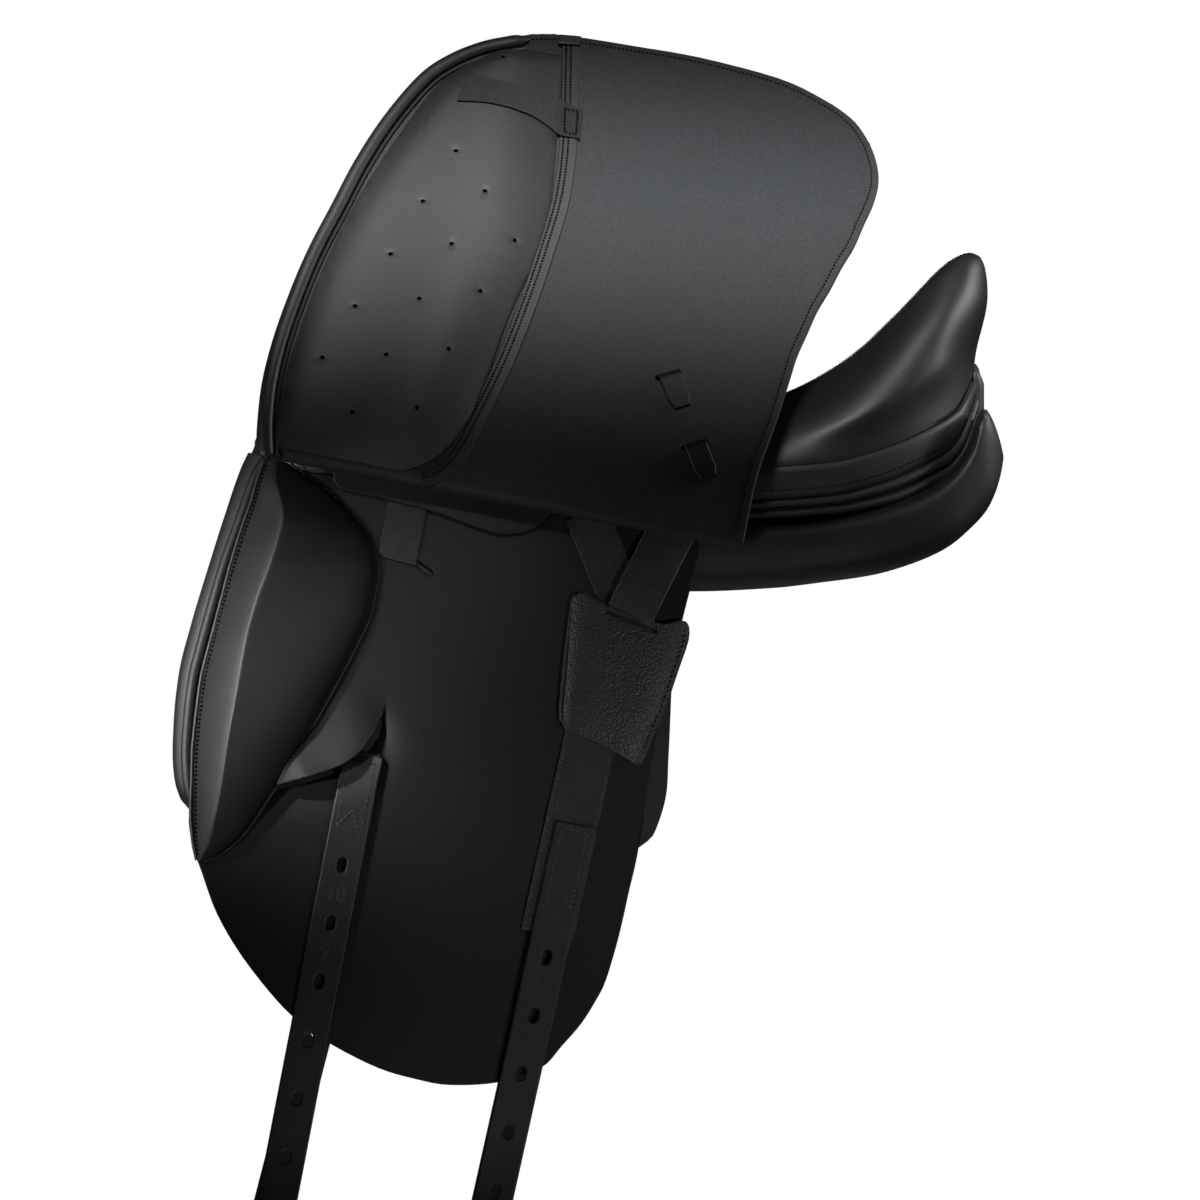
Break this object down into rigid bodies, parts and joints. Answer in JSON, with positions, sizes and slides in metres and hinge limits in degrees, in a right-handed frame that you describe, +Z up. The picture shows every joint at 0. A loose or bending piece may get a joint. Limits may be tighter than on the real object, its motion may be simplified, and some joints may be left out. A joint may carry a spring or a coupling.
{
  "type": "dressage saddle",
  "caption": "Deep-seated dressage saddle with its long flaps lifted, knee blocks on the sweat flaps and long girth straps on webs.",
  "frame": {"origin": "on the middle plane, at the level on which the panels bear on the back, below the lowest part of the seat", "axes": "+X from pommel to cantle, +Y to the right side of the saddle, +Z up"},
  "size_m": [0.5471, 0.49, 0.9835],
  "materials": {
    "black_leather": "smooth black bridle leather with a soft sheen",
    "panel_leather": "soft black leather over padding",
    "black_webbing": "woven synthetic webbing",
    "seat_foam": "soft foam, not visible",
    "tree_wood": "laminated beech, not visible",
    "steel": "forged steel"
  },
  "bodies": {
    "saddle": {"tree": "tree_wood", "head_plate": "steel", "seat_webbing": "black_webbing", "seat_foam": "seat_foam", "seat_cover": "black_leather", "left_skirt": "black_leather", "right_skirt": "black_leather", "cantle_strips": "black_leather", "welt_band": "black_leather", "rear_facing": "black_leather", "left_flap_root": "black_leather", "right_flap_root": "black_leather", "left_panel_cushion": "panel_leather", "right_panel_cushion": "panel_leather", "left_panel_flap": "panel_leather", "right_panel_flap": "panel_leather", "left_knee_roll": "panel_leather", "right_knee_roll": "panel_leather", "left_sweat_flap": "black_leather", "right_sweat_flap": "black_leather", "left_knee_block": "black_leather", "right_knee_block": "black_leather", "left_point_web": "black_webbing", "right_point_web": "black_webbing", "left_front_web": "black_webbing", "right_front_web": "black_webbing", "left_rear_web": "black_webbing", "right_rear_web": "black_webbing", "left_point_pocket": "black_leather", "right_point_pocket": "black_leather", "left_billet_guard": "black_leather", "right_billet_guard": "black_leather", "left_stirrup_bar": "steel", "right_stirrup_bar": "steel"},
    "left_flap_body": {"left_flap": "black_leather", "left_flap_pad": "black_leather", "left_flap_roll": "black_leather", "left_seam_strip": "black_leather", "left_elastic_strap": "black_webbing", "left_flap_keeper": "black_leather"},
    "left_front_strap": {"left_front_billet": "black_leather"},
    "left_rear_strap": {"left_lower_web": "black_webbing", "left_rear_billet": "black_leather"},
    "right_flap_body": {"right_flap": "black_leather", "right_flap_pad": "black_leather", "right_flap_roll": "black_leather", "right_seam_strip": "black_leather", "right_elastic_strap": "black_webbing", "right_flap_keeper": "black_leather"},
    "right_front_strap": {"right_front_billet": "black_leather"},
    "right_rear_strap": {"right_lower_web": "black_webbing", "right_rear_billet": "black_leather"}
  },
  "joints": [
    {"name": "left_flap_fold", "type": "hinge", "parent": "saddle", "child": "left_flap_body", "pos_m": [-0.0634, -0.198, 0.064], "axis": [-0.9816, 0, 0.1908], "range_deg": [-203, 0]},
    {"name": "left_front_strap_swing", "type": "hinge", "parent": "saddle", "child": "left_front_strap", "pos_m": [-0.15748, -0.17253, -0.12273], "axis": [0.0202, -0.9903, 0.1377], "range_deg": [-9, 9]},
    {"name": "left_rear_strap_swing", "type": "hinge", "parent": "saddle", "child": "left_rear_strap", "pos_m": [-0.00327, -0.16404, -0.08429], "axis": [0.0202, -0.9903, 0.1377], "range_deg": [-9, 9]},
    {"name": "right_flap_fold", "type": "hinge", "parent": "saddle", "child": "right_flap_body", "pos_m": [-0.0634, 0.198, 0.064], "axis": [0.9816, 0, -0.1908], "range_deg": [-203, 0]},
    {"name": "right_front_strap_swing", "type": "hinge", "parent": "saddle", "child": "right_front_strap", "pos_m": [-0.15748, 0.17253, -0.12273], "axis": [0.0202, 0.9903, 0.1377], "range_deg": [-9, 9]},
    {"name": "right_rear_strap_swing", "type": "hinge", "parent": "saddle", "child": "right_rear_strap", "pos_m": [-0.00327, 0.16404, -0.08429], "axis": [0.0202, 0.9903, 0.1377], "range_deg": [-9, 9]}
  ]
}
